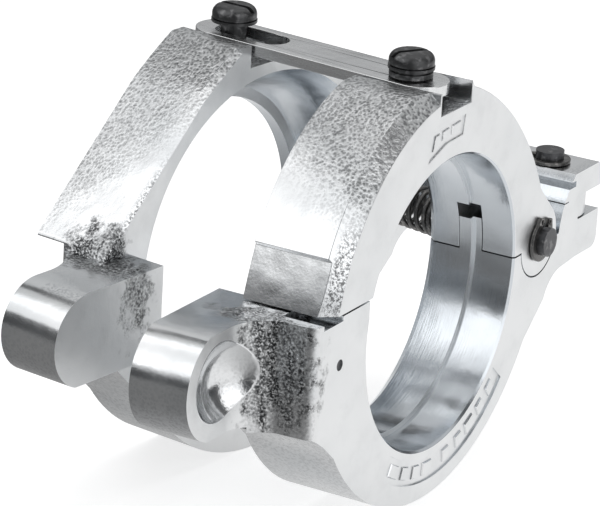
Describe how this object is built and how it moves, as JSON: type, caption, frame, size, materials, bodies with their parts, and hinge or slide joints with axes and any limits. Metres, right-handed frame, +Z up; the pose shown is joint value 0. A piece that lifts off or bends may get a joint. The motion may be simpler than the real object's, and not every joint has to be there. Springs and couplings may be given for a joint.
{
  "type": "pipe pressing collar",
  "caption": "Hinged collar of twin rings on a rear pin, with lift-up upper jaws tied by a link bar, ball-seat lugs at the front and a return spring.",
  "frame": {"origin": "centre of the near ring's bore, at the middle of the ring's width", "axes": "+X along the near ring's bore, away from the far ring; +Y to the rear hinge pin; +Z up, away from the lower jaws"},
  "size_m": [0.094, 0.1958, 0.1239],
  "materials": {
    "zinc_forging": "forged steel, ground on the sides and bright zinc plated, cast grain left on the upper outer faces",
    "zinc_bar": "flat steel bar, bright zinc plated",
    "black_screw": "black oxide, lightly oiled",
    "dark_pin_steel": "hardened and blackened steel",
    "spring_steel": "dark spring wire and stamped spring steel"
  },
  "bodies": {
    "near_frame": {"near_lower_jaw": "zinc_forging", "near_jaw_pin": "dark_pin_steel", "near_jaw_pin_clip": "spring_steel", "rear_pivot_pin": "dark_pin_steel", "rear_pin_top_clip": "spring_steel", "rear_pin_low_clip": "spring_steel", "return_spring": "spring_steel", "near_latch_spring": "spring_steel", "near_latch_pin": "dark_pin_steel"},
    "near_upper": {"near_upper_jaw": "zinc_forging"},
    "far_lower": {"far_lower_jaw": "zinc_forging", "far_jaw_pin": "dark_pin_steel", "far_jaw_pin_clip": "spring_steel"},
    "far_upper": {"far_upper_jaw": "zinc_forging", "far_link_screw": "black_screw", "far_latch_spring": "spring_steel", "far_latch_pin": "dark_pin_steel"},
    "near_screw": {"near_link_screw": "black_screw"},
    "bar": {"link_bar": "zinc_bar"},
    "near_latch": {"near_latch_plunger": "dark_pin_steel"},
    "far_latch": {"far_latch_plunger": "dark_pin_steel"}
  },
  "joints": [
    {"name": "squeeze", "type": "hinge", "parent": "near_frame", "child": "far_lower", "pos_m": [0.0017, 0.0806, 0], "axis": [0, 0, 1], "range_deg": [0, 7.5], "stiffness_Nm_per_rad": 5.4, "springref_deg": -2.86, "deforming": ["return_spring"]},
    {"name": "upper_jaws_open", "type": "hinge", "parent": "near_frame", "child": "near_upper", "pos_m": [0, 0.0545, 0.0025], "axis": [-1, 0, 0], "range_deg": [0, 35]},
    {"name": "far_upper_open", "type": "hinge", "parent": "far_lower", "child": "far_upper", "pos_m": [-0.049, 0.06095, 0.0025], "axis": [-0.9914, 0.1305, 0], "range_deg": [0, 35]},
    {"name": "near_screw_turn", "type": "hinge", "parent": "near_upper", "child": "near_screw", "pos_m": [-0.001, 0, 0.05], "axis": [0, 0, 1], "range_deg": [0, 7.4]},
    {"name": "bar_tilt", "type": "hinge", "parent": "near_screw", "child": "bar", "pos_m": [-0.001, 0, 0.05795], "axis": [0.1023, 0.9948, 0], "range_deg": [0, 2]},
    {"name": "near_latch_slide", "type": "slide", "parent": "near_frame", "child": "near_latch", "axis": [0, 0, -1], "range_m": [0, 0.0025], "stiffness_N_per_m": 600, "springref_m": -0.004, "deforming": ["near_latch_spring"]},
    {"name": "far_latch_slide", "type": "slide", "parent": "far_upper", "child": "far_latch", "axis": [0, 0, 1], "range_m": [0, 0.0025], "stiffness_N_per_m": 600, "springref_m": -0.004, "deforming": ["far_latch_spring"]}
  ],
  "couplings": [
    {"joint": "far_upper_open", "follows": "upper_jaws_open", "ratio": 1},
    {"joint": "near_screw_turn", "follows": "squeeze", "ratio": 0.977},
    {"joint": "bar_tilt", "follows": "upper_jaws_open", "ratio": 0.055}
  ]
}
